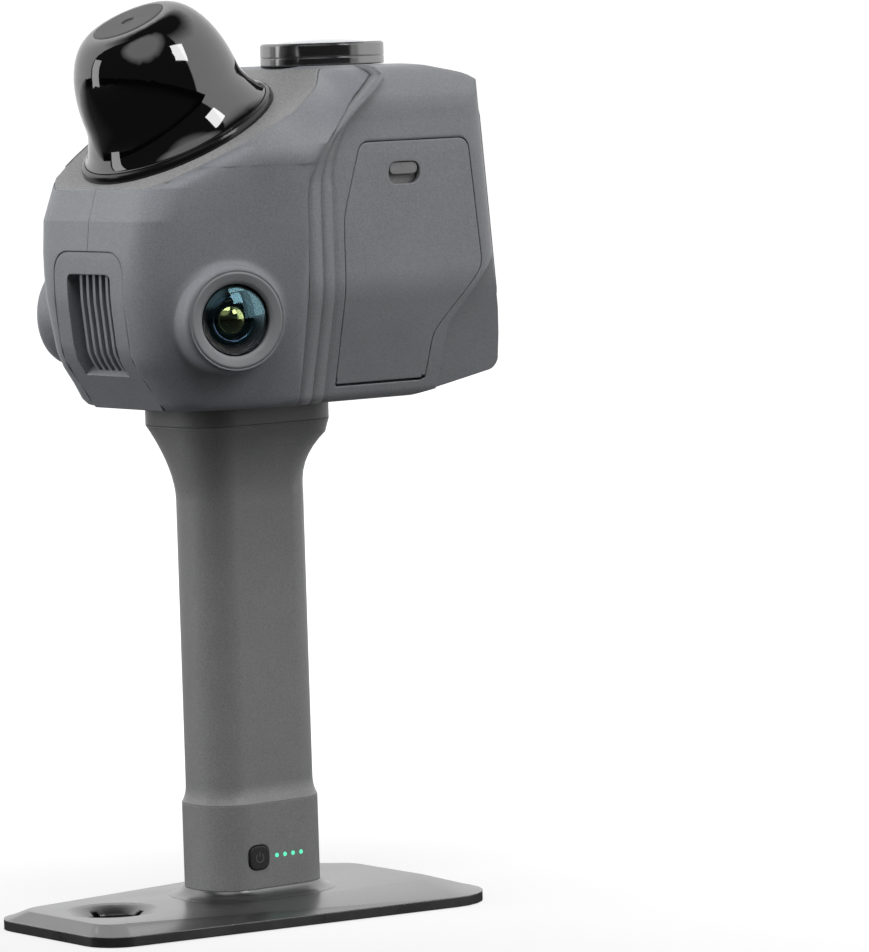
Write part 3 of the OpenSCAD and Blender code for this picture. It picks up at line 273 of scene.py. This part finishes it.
button_black = moulded_grey("button_black", (0.016, 0.016, 0.017), (0.022, 0.022, 0.024),
                            grain=2600, depth=0.00003, smooth=0.3, dull=0.42)
skin_of("power_button", "button", button_black, round_edge=0.0004)
low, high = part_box("power_button")
face_x, sign_y, sign_z = high[0], (low[1] + high[1]) / 2, (low[2] + high[2]) / 2
ring_r, stroke, print_t, gap = 0.00145, 0.00036, 0.00008, math.radians(38)
bpy.ops.object.select_all(action="DESELECT")
bpy.ops.mesh.primitive_plane_add(size=1, rotation=(math.pi / 2 - gap, 0, 0), location=(
    face_x, sign_y + ring_r * math.sin(gap), sign_z + ring_r * math.cos(gap)))
sign = bpy.context.object
sign.name = "power_sign"
sign.scale = (print_t, stroke, 1)
bpy.ops.object.transform_apply(location=True, rotation=True, scale=True)
bpy.ops.object.mode_set(mode="EDIT")
bpy.ops.mesh.select_all(action="SELECT")
bpy.ops.mesh.delete(type="ONLY_FACE")
bpy.ops.mesh.select_all(action="SELECT")
bpy.ops.mesh.spin(steps=36, angle=2 * math.pi - 2 * gap, center=(face_x, sign_y, sign_z), axis=(1, 0, 0))
bpy.ops.mesh.select_all(action="SELECT")
bpy.ops.mesh.remove_doubles(threshold=1e-6)
bpy.ops.mesh.select_all(action="SELECT")
bpy.ops.mesh.fill_holes(sides=4)
faces_out()
bpy.ops.object.select_all(action="DESELECT")
bpy.ops.mesh.primitive_cube_add(size=1, location=(face_x, sign_y, sign_z + ring_r * 0.72))
upright_stroke = bpy.context.object
upright_stroke.scale = (print_t, stroke, ring_r * 1.1)
bpy.ops.object.transform_apply(location=True, rotation=True, scale=True)
bpy.ops.object.mode_set(mode="EDIT")
bpy.ops.mesh.select_all(action="SELECT")
bpy.ops.mesh.bevel(offset=0.00001, segments=1)
bpy.ops.object.mode_set(mode="OBJECT")
sign.select_set(True)
bpy.context.view_layer.objects.active = sign
bpy.ops.object.join()
sign_grey, nodes, links, shader, place = mottled(
    "sign_dark_grey", 3000, (0.07, 0.07, 0.072), (0.09, 0.09, 0.093))
shader.inputs["Roughness"].default_value = 0.5
finished(sign, sign_grey, "button")


# Lights: four small round lenses in a row behind the button, set in the foot's side.
# Clear green plastic over lit lamps.
lit_green, nodes, links, shader, place = new_finish("light_green")
glow = tint(nodes, links, speckle(nodes, links, place, 900), (0.10, 0.84, 0.46), (0.16, 0.92, 0.55))
links.new(glow, shader.inputs["Base Color"])
links.new(glow, shader.inputs["Emission Color"])
shader.inputs["Emission Strength"].default_value = 0.7
shader.inputs["Roughness"].default_value = 0.2
skin_of("led_lenses", "scanner", lit_green, round_edge=0.0001)


# Head mouldings: two mirrored front cowls that meet on a centre seam, a tilted deck between
# their creases, and the terraced rear box. Bluish grey plastic, fine grain, coarser on the deck.
def brow_line(one, two):
    brow_z, brow_y = 0.2221, -0.046
    return min(one.y, two.y) < brow_y and max(abs(one.z - brow_z), abs(two.z - brow_z)) < 0.0004


def figure(nodes, links, operation, *values):
    # One sum in a material; plain numbers are set on the node and the rest is linked to it.
    step = nodes.new("ShaderNodeMath")
    step.operation = operation
    for socket, value in zip(step.inputs, values):
        if isinstance(value, float):
            socket.default_value = value
        else:
            links.new(value, socket)
    return step.outputs["Value"]


def axes(nodes, links, place):
    spot = nodes.new("ShaderNodeSeparateXYZ")
    links.new(place, spot.inputs["Vector"])
    return spot.outputs


# The shoulder and the camera pods turn softly into the cheek, so the rounding of the cowl's normals
# is wide at the shoulder's level and round the pods.
shoulder_z, pod_spot, edge_r = 0.2381, (0.0400, 0.0310, 0.1911), 0.0006
cowl_grey = moulded_grey("cowl_grey", (0.182, 0.190, 0.206), (0.204, 0.212, 0.229))
nodes, links = cowl_grey.node_tree.nodes, cowl_grey.node_tree.links
place = nodes["Texture Coordinate"].outputs["Object"]
at_shoulder = figure(nodes, links, "COMPARE", axes(nodes, links, place)["Z"], shoulder_z, 0.006)
from_pod = vector_figure(nodes, links, "DISTANCE",
                         vector_figure(nodes, links, "ABSOLUTE", place), pod_spot)
links.new(figure(nodes, links, "MAXIMUM", between(nodes, links, at_shoulder, edge_r, 0.005, 0, 1),
                 between(nodes, links, from_pod, 0.0045, edge_r, 0.026, 0.034)),
          nodes["Bevel"].inputs["Radius"])
nodes["Bevel"].samples = 8
for node in ("front_cowl_right", "front_cowl_left"):
    skin_of(node, "scanner", cowl_grey, angle=34, line=brow_line, joint=shoulder_z)

deck_grey = moulded_grey("deck_grey", (0.2, 0.2, 0.201), (0.226, 0.226, 0.227),
                         grain=1300, depth=0.0001, smooth=0.48, dull=0.6, contrast=0.28)
skin_of("deck", "scanner", deck_grey, round_edge=0.0003)

# The box's two terraces behind the cowl are softly rounded, with a valley along each ridge line.
# The ridge climbs to the rear over the last part of the height, and the terraces narrow with it.
ridge_y, ridge_z, ridge_h, ridge_run, ridge_curve = -0.0063, 0.2286, 0.025, 0.0185, 1.75
tread_low, tread_high, tread_depth, flank_x = 0.0055, 0.00176, 0.0007, 0.030
housing_grey = moulded_grey("housing_grey", (0.18, 0.184, 0.195), (0.202, 0.206, 0.218))
nodes, links = housing_grey.node_tree.nodes, housing_grey.node_tree.links
spot = axes(nodes, links, nodes["Texture Coordinate"].outputs["Object"])
climb = figure(nodes, links, "MAXIMUM", figure(nodes, links, "DIVIDE", figure(
    nodes, links, "SUBTRACT", spot["Z"], ridge_z), ridge_h), 0.0)
ridge = figure(nodes, links, "SUBTRACT", figure(nodes, links, "MULTIPLY", figure(
    nodes, links, "POWER", climb, ridge_curve), ridge_run), -ridge_y)
pitch = between(nodes, links, climb, tread_low, tread_high, 0.0, 1.0)
tread = figure(nodes, links, "DIVIDE", figure(nodes, links, "SUBTRACT", spot["Y"], ridge), pitch)
swell = figure(nodes, links, "ABSOLUTE", figure(nodes, links, "SINE", figure(
    nodes, links, "MULTIPLY", tread, math.pi)))
inside = figure(nodes, links, "MULTIPLY", figure(nodes, links, "GREATER_THAN", tread, 0.0),
                figure(nodes, links, "LESS_THAN", tread, 2.0))
flank = figure(nodes, links, "GREATER_THAN", figure(nodes, links, "ABSOLUTE", spot["X"]), flank_x)
height = figure(nodes, links, "MULTIPLY", figure(nodes, links, "MULTIPLY", swell, inside), flank)
rise = figure(nodes, links, "MULTIPLY", between(nodes, links, tread, 0.0, 0.5, 2.0, 2.5), flank)
fade = between(nodes, links, spot["Z"], 1.0, 0.0, 0.240, 0.250)
relief = figure(nodes, links, "MULTIPLY", figure(nodes, links, "ADD", height, rise), fade)
grain = nodes["Bump"].inputs["Normal"]
links.new(roughen(nodes, links, relief, 1.0, tread_depth, grain.links[0].from_socket), grain)
# The roof's edges are rounded more than the others.
links.new(between(nodes, links, spot["Z"], edge_r, 0.004, 0.243, 0.250), nodes["Bevel"].inputs["Radius"])
nodes["Bevel"].samples = 8
skin_of("rear_housing", "scanner", housing_grey, angle=18)
skin_of("hatch", "hatch", housing_grey, angle=34, round_edge=0.0002)
skin_of("latch_slider", "latch", grip_grey, round_edge=0.0003)
skin_of("vent_grille", "scanner", cowl_grey, round_edge=0.0002)


# Bay end cover: a thin moulding at the rear end of the port bay, which closes it off from the display
# behind. Grey plastic like the box; a wall and a floor traced along the bay's outline, bonded in.
def traced(name, points):
    # A chain of edges through the points, left selected in edit mode.
    bpy.ops.object.select_all(action="DESELECT")
    bpy.ops.mesh.primitive_plane_add(size=0.0001)
    piece = bpy.context.object
    piece.name = name
    bpy.ops.object.mode_set(mode="EDIT")
    bpy.ops.mesh.select_all(action="SELECT")
    bpy.ops.mesh.merge(type="CENTER")
    bpy.ops.transform.translate(value=points[0])
    for one, two in zip(points, points[1:]):
        bpy.ops.mesh.extrude_region_move(
            TRANSFORM_OT_translate={"value": tuple(b - a for a, b in zip(one, two))})
    bpy.ops.mesh.select_all(action="SELECT")
    return piece


def drawn_out(name, outline, low, high):
    # A closed outline in side view, filled and drawn out along X.
    piece = traced(name, [(low, *point) for point in outline])
    bpy.ops.mesh.edge_face_add()
    bpy.ops.mesh.extrude_region_move(TRANSFORM_OT_translate={"value": (high - low, 0, 0)})
    faces_out()
    return piece


def bay_rim(out):
    # The bay's rear outline as place along the head and height: a small round corner over a large one.
    arcs = (((0.056621, 0.239900), 0.004, (75, 58, 41, 24, 6.4)),
            ((0.056454, 0.205256), 0.008, (6.4, -5, -17, -29, -41.7)))
    rim = [(spot[0] + (radius + out) * math.cos(math.radians(turn)),
            spot[1] + (radius + out) * math.sin(math.radians(turn)))
           for spot, radius, turns in arcs for turn in turns]
    return rim + [(rim[-1][0] - 0.00095, rim[-1][1] - 0.00107)]


end_floor = drawn_out("bay_end_floor", [(0.0608, 0.1992), (0.0571, 0.2433)] + bay_rim(0.0004),
                      0.0340, 0.03545)
end_cover = drawn_out("bay_end_cover", bay_rim(0.00005) + bay_rim(0.0013)[::-1], 0.0338, 0.04165)
end_floor.select_set(True)
bpy.ops.object.join()
rounded_edges(end_cover, 0.00015, 40)
finished(end_cover, housing_grey, "scanner")


# Hatch toe: a small lip at the hatch's lower rear corner, past the end of its hinge, moulded with it.
# The same grey plastic; drawn out flat, then leant like the box's side, and it swings with the hatch.
toe_in, toe_out, toe_lean = 0.03858, 0.03907, 0.00037
toe = drawn_out("hatch_toe", [(0.04395, 0.1690), (0.04545, 0.1690), (0.04560, 0.1706), (0.04395, 0.1706)],
                toe_in, toe_out)
for corner in toe.data.vertices:
    corner.select = corner.co.x > 0.0389 and corner.co.z > 0.1700
for side in list(toe.data.edges) + list(toe.data.polygons):
    side.select = False
bpy.ops.object.mode_set(mode="EDIT")
bpy.ops.transform.translate(value=(toe_lean, 0, 0))
bpy.ops.object.mode_set(mode="OBJECT")
rounded_edges(toe, 0.0001)
finished(toe, housing_grey, "hatch")


# Ridge webs: a thin wall just behind the box's front edge on either side, where it stands proud of the
# cowl's shoulder. Grey plastic; traced along the ridge line and drawn out, the left one mirrored.
def mirrored(piece, name):
    # A copy with a mesh of its own on the other side, its faces turned outward again.
    bpy.ops.object.select_all(action="DESELECT")
    piece.select_set(True)
    bpy.context.view_layer.objects.active = piece
    bpy.ops.object.duplicate()
    other = bpy.context.object
    other.name = name
    other.scale = (-1, 1, 1)
    bpy.ops.object.transform_apply(location=True, rotation=True, scale=True)
    bpy.ops.object.mode_set(mode="EDIT")
    faces_out()
    return other


web_heights = (0.2450, 0.2475, 0.2500, 0.2520, 0.2540, 0.2560, 0.2580, 0.2600, 0.2613, 0.2625)
web_line = [(ridge_y + ridge_run * ((z - ridge_z) / ridge_h) ** ridge_curve, z) for z in web_heights]
web = drawn_out("ridge_web_right", [(y + 0.0005, z) for y, z in web_line]
                + [(y + 0.0016, z) for y, z in web_line[::-1]], 0.0360, 0.0438)
finished(web, housing_grey, "scanner")
web = mirrored(web, "ridge_web_left")
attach(web, "scanner")


# Fan behind the vent: a frame with spokes and a bladed wheel that turns in it.
# Black plastic, held in the nose.
fan_black = moulded_grey("fan_black", (0.012, 0.012, 0.013), (0.018, 0.018, 0.019),
                         grain=2200, depth=0.00004, smooth=0.35, dull=0.5)
skin_of("fan_frame", "scanner", fan_black)
skin_of("fan_rotor", "fan_wheel", fan_black)


# Rear display: a black plastic panel let into the box's back, with the touch glass set
# in it over the display module.
panel_black = moulded_grey("panel_black", (0.02, 0.02, 0.021), (0.028, 0.028, 0.03))
skin_of("rear_panel", "scanner", panel_black, round_edge=0.0003)
touch_glass, nodes, links, shader, place = mottled(
    "touch_glass", 20, (0.006, 0.006, 0.007), (0.01, 0.01, 0.012))
uneven(nodes, links, shader, place, 90, 0.03, 0.09)
skin_of("display_glass", "scanner", touch_glass, round_edge=0.0003)


# Lidar: a rubber seal ring on the deck, the turned base, the glossy black dome with its grey cap,
# and the drum that spins inside.
seal_black = moulded_grey("seal_black", (0.004, 0.004, 0.0045), (0.006, 0.006, 0.0065),
                          grain=1600, depth=0.00001, smooth=0.13, dull=0.2)
skin_of("lidar_seal_ring", "scanner", seal_black, angle=40)
dome_black, nodes, links, shader, place = mottled(
    "dome_black", 40, (0.0008, 0.0008, 0.0009), (0.0014, 0.0014, 0.0016))
uneven(nodes, links, shader, place, 120, 0.02, 0.05)
shader.inputs["IOR"].default_value = 2.1
skin_of("lidar_dome", "scanner", dome_black, angle=40)
cap_grey = moulded_grey("cap_grey", (0.034, 0.034, 0.035), (0.043, 0.043, 0.044),
                        grain=2200, depth=0.00004, smooth=0.4, dull=0.5)
skin_of("lidar_cap", "scanner", cap_grey)
skin_of("lidar_rotor", "lidar_drum", fan_black)
base_dark = moulded_grey("lidar_base_dark", (0.03, 0.03, 0.032), (0.04, 0.04, 0.042))
skin_of("lidar_base", "scanner", base_dark)


# Side cameras: each a painted bezel and a black barrel that holds the lens, which is a domed front
# glass, a stepped baffle behind it and two smaller coated elements deeper in. The lens is turned
# once along its axis, set in the right barrel, and mirrored for the left.
def turned(name, profile, finish, steps=72):
    # A profile of radius and height, spun round the upright axis.
    piece = traced(name, [(radius, 0, rise) for radius, rise in profile])
    bpy.ops.mesh.spin(steps=steps, angle=2 * math.pi, center=(0, 0, 0), axis=(0, 0, 1))
    bpy.ops.mesh.select_all(action="SELECT")
    bpy.ops.mesh.remove_doubles(threshold=2e-6)
    faces_out()
    bpy.ops.object.shade_smooth_by_angle(angle=math.radians(30))
    piece.data.materials.append(finish)
    return piece


def bowl(radius, curve, top, count=12):
    # Points of a round surface, from its middle at the given top to its rim.
    return [(radius * i / count, top - curve + math.sqrt(curve ** 2 - (radius * i / count) ** 2))
            for i in range(count + 1)]


def coated(name, colour, ior):
    finish, nodes, links, shader, place = mottled(name, 300, (0.002, 0.003, 0.002), (0.004, 0.005, 0.004))
    shader.inputs["IOR"].default_value = ior
    shader.inputs["Specular Tint"].default_value = (*colour, 1)
    shader.inputs["Roughness"].default_value = 0.04
    return finish


front_glass, nodes, links, shader, place = new_finish("front_glass")
shader.inputs["Base Color"].default_value = (1, 1, 1, 1)
shader.inputs["Transmission Weight"].default_value = 1.0
shader.inputs["IOR"].default_value = 1.7
shader.inputs["Specular Tint"].default_value = (0.35, 0.72, 0.85, 1)
uneven(nodes, links, shader, place, 400, 0.0, 0.003)
coat_green = coated("coat_green", (0.72, 1.0, 0.42), 2.8)
coat_blue = coated("coat_blue", (0.25, 0.55, 1.0), 1.7)
baffle_black = moulded_grey("baffle_black", (0.006, 0.006, 0.007), (0.01, 0.01, 0.011),
                            grain=2400, depth=0.00002, smooth=0.25, dull=0.35)
bezel_grey = moulded_grey("bezel_grey", (0.19, 0.195, 0.203), (0.21, 0.215, 0.224),
                          grain=2400, depth=0.00003, smooth=0.34, dull=0.44, contrast=0.06)
# Profiles as radius and height along the lens's axis; the seat is the bottom of the barrel.
front_r, back_r, seat, bead_r, bead_spot = 0.0107, 0.0104, -0.0058, 0.0008, (0.0065, -0.0046)
front = bowl(front_r, 0.0195, 0.0011)
back = bowl(back_r, 0.024, -0.0004)
steps_in = [(0.0108, -0.0030), (0.0108, seat), (0.0074, seat), (0.0074, -0.0051),
            (0.0082, -0.0051), (0.0082, -0.0045), (0.0090, -0.0045), (0.0090, -0.0038),
            (0.0097, -0.0038), (0.0097, -0.0030), (0.0108, -0.0030)]
bead = [(bead_spot[0] + bead_r * math.cos(a * math.pi / 8),
         bead_spot[1] + bead_r * math.sin(a * math.pi / 8)) for a in range(9)]
lens_pieces = [
    turned("front_glass", front + [(front_r, -0.0028)] + back[::-1], front_glass),
    turned("lens_baffle", steps_in, baffle_black),
    turned("inner_element", bowl(0.0054, 0.0060, -0.0024) + [(0.0054, seat), (0, seat)], coat_green),
    turned("inner_ring", bead + [(0.0057, seat), (0.0073, seat), bead[0]], coat_blue),
]
lens_spot, lens_turn = Vector((0.0456, -0.0325, 0.1911)), math.radians(74)
for side in ("right", "left"):
    for piece in lens_pieces:
        if side == "right":
            bpy.ops.object.select_all(action="DESELECT")
            piece.select_set(True)
            bpy.context.view_layer.objects.active = piece
            piece.location = lens_spot
            piece.rotation_euler = (math.pi / 2, 0, lens_turn)
            bpy.ops.object.transform_apply(location=True, rotation=True, scale=True)
            piece.name += "_right"
        else:
            piece = mirrored(piece, piece.name.replace("_right", "_left"))
        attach(piece, "scanner")
        if piece.name.startswith("front_glass"):
            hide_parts("camera_lens_" + side)
    skin_of("camera_bezel_" + side, "scanner", bezel_grey)
    skin_of("camera_barrel_" + side, "scanner", baffle_black)


# Top camera: a flat round barrel that stands on the box's roof, with a domed glass let into it.
# Glossy black metal and pale glass.
barrel_black = moulded_grey("barrel_black", (0.010, 0.010, 0.011), (0.014, 0.014, 0.015),
                            grain=2400, depth=0.00001, smooth=0.11, dull=0.16)
barrel_black.node_tree.nodes["Principled BSDF"].inputs["IOR"].default_value = 2.9
skin_of("top_camera_barrel", "scanner", barrel_black)
pale_glass, nodes, links, shader, place = mottled(
    "pale_glass", 60, (0.42, 0.43, 0.45), (0.5, 0.51, 0.53))
shader.inputs["Roughness"].default_value = 0.08
skin_of("top_camera_lens", "scanner", pale_glass, angle=40)


# Inside: battery cells in their wrap, circuit boards, the aluminium chassis and heat sink, the display
# module, the plated sockets and the memory card. Each keeps the shape and place of its solid.
board_green = moulded_grey("board_green", (0.01, 0.1, 0.04), (0.015, 0.13, 0.055),
                           grain=700, depth=0.00005, smooth=0.3, dull=0.45)
for node in ("battery_contact", "button_board", "main_board", "port_board"):
    skin_of(node, "scanner", board_green)
wrap_blue = moulded_grey("cell_wrap_blue", (0.05, 0.16, 0.33), (0.06, 0.19, 0.38),
                         grain=900, depth=0.00003, smooth=0.25, dull=0.38)
skin_of("battery_cells", "scanner", wrap_blue)
for node in ("chassis", "heat_sink", "display_module"):
    skin_of(node, "scanner", turned_steel, round_edge=0.0002)
skin_of("port_connectors", "scanner", turned_steel)
skin_of("memory_card", "card", button_black, round_edge=0.0001)


# Studio: a wide pale floor, a large soft lamp in front on the left, one behind on the right and one
# above, and pale walls behind. The room is dim on the camera's side, with one soft round light
# overhead and two small lamps that show as the highlights in the dome.
bpy.ops.object.select_all(action="DESELECT")
bpy.ops.mesh.primitive_plane_add(size=60, location=(0, 0, -0.0003))
floor = bpy.context.object
floor.name = "studio_floor"
paper, nodes, links, shader, place = new_finish("floor_paper")
shader.inputs["Roughness"].default_value = 0.9
shader.inputs["Specular IOR Level"].default_value = 0.0
# The floor is dark on the camera's side, more so in a mirror or a lens, and pale behind the part.
depth = vector_figure(nodes, links, "DOT_PRODUCT", place, (-0.52, 0.85, 0.0))
rays = nodes.new("ShaderNodeLightPath")
through = figure(nodes, links, "MAXIMUM",
                 rays.outputs["Is Glossy Ray"], rays.outputs["Is Transmission Ray"])
links.new(figure(nodes, links, "MULTIPLY", between(nodes, links, depth, 0.07, 0.5, -0.2, 0.5),
                 between(nodes, links, through, 1.0, 0.3, 0, 1)), shader.inputs["Base Color"])
# It is lifted to white for the camera away from the part, and for mirrors far behind it.
reach = vector_figure(nodes, links, "LENGTH", place)
seen = figure(nodes, links, "MULTIPLY", rays.outputs["Is Camera Ray"],
              between(nodes, links, reach, 0.75, 1.0, 0.1, 0.8))
reflected = figure(nodes, links, "MULTIPLY", through, between(nodes, links, depth, 0, 1, 0.1, 1.2))
shader.inputs["Emission Color"].default_value = (1, 1, 1, 1)
links.new(figure(nodes, links, "MAXIMUM", seen, reflected), shader.inputs["Emission Strength"])
floor.data.materials.append(paper)


def softbox(name, direction, distance, size, level, tall=1.0):
    # The level is the light that it throws straight on a surface, as a share of full white.
    toward = Vector(direction).normalized()
    bpy.ops.object.light_add(type="AREA", location=Vector((0, 0, 0.17)) + toward * distance)
    lamp = bpy.context.object
    lamp.name = name
    lamp.data.shape = "RECTANGLE"
    lamp.data.size = size
    lamp.data.size_y = size * tall
    lamp.data.energy = level * (math.pi * distance) ** 2
    lamp.rotation_euler = toward.to_track_quat("Z", "Y").to_euler()
    lamp.visible_camera = False
    return lamp


for lamp in (softbox("key_left", (-0.42, -0.85, 0.3), 2.2, 1.6, 0.76),
             softbox("fill_right", (0.70, 0.62, 0.32), 2.2, 1.4, 0.32),
             softbox("top", (0.30, -0.28, 0.91), 1.9, 1.2, 0.81)):
    lamp.visible_glossy = False
softbox("spot_right", (0.81, 0.12, 0.58), 1.9, 0.6, 0.2)
strip = softbox("strip_left", (-0.60, -0.80, 0.05), 1.9, 0.45, 0.11, tall=3.2)
strip.visible_diffuse = False

wall_level, room_level, overhead_level, diffuse_share = 1.1, 0.03, 0.9, 0.2
world = bpy.data.worlds.new("studio_air")
bpy.context.scene.world = world
world.use_nodes = True
nodes, links = world.node_tree.nodes, world.node_tree.links
air = nodes["Background"]
air.inputs["Color"].default_value = (1, 1, 1, 1)
facing = nodes.new("ShaderNodeTexCoord").outputs["Generated"]
behind = vector_figure(nodes, links, "DOT_PRODUCT", facing, (-0.5, 0.866, 0.0))
overhead = vector_figure(nodes, links, "DOT_PRODUCT", facing, (0.39, -0.55, 0.75))
walls = figure(nodes, links, "MULTIPLY", between(nodes, links, behind, 0.0, wall_level, -0.235, -0.205),
               between(nodes, links, axes(nodes, links, facing)["Z"], 1.0, 0.0, 0.68, 0.9))
room = figure(nodes, links, "MAXIMUM", figure(nodes, links, "MAXIMUM", walls, room_level),
              between(nodes, links, overhead, 0.0, overhead_level, 0.86, 0.95))
rays = nodes.new("ShaderNodeLightPath")
dimmed = figure(nodes, links, "MULTIPLY", room,
                between(nodes, links, rays.outputs["Is Diffuse Ray"], 1.0, diffuse_share, 0, 1))
links.new(figure(nodes, links, "MAXIMUM", rays.outputs["Is Camera Ray"], dimmed), air.inputs["Strength"])

bpy.context.scene.view_settings.view_transform = "Standard"
bpy.context.view_layer.update()
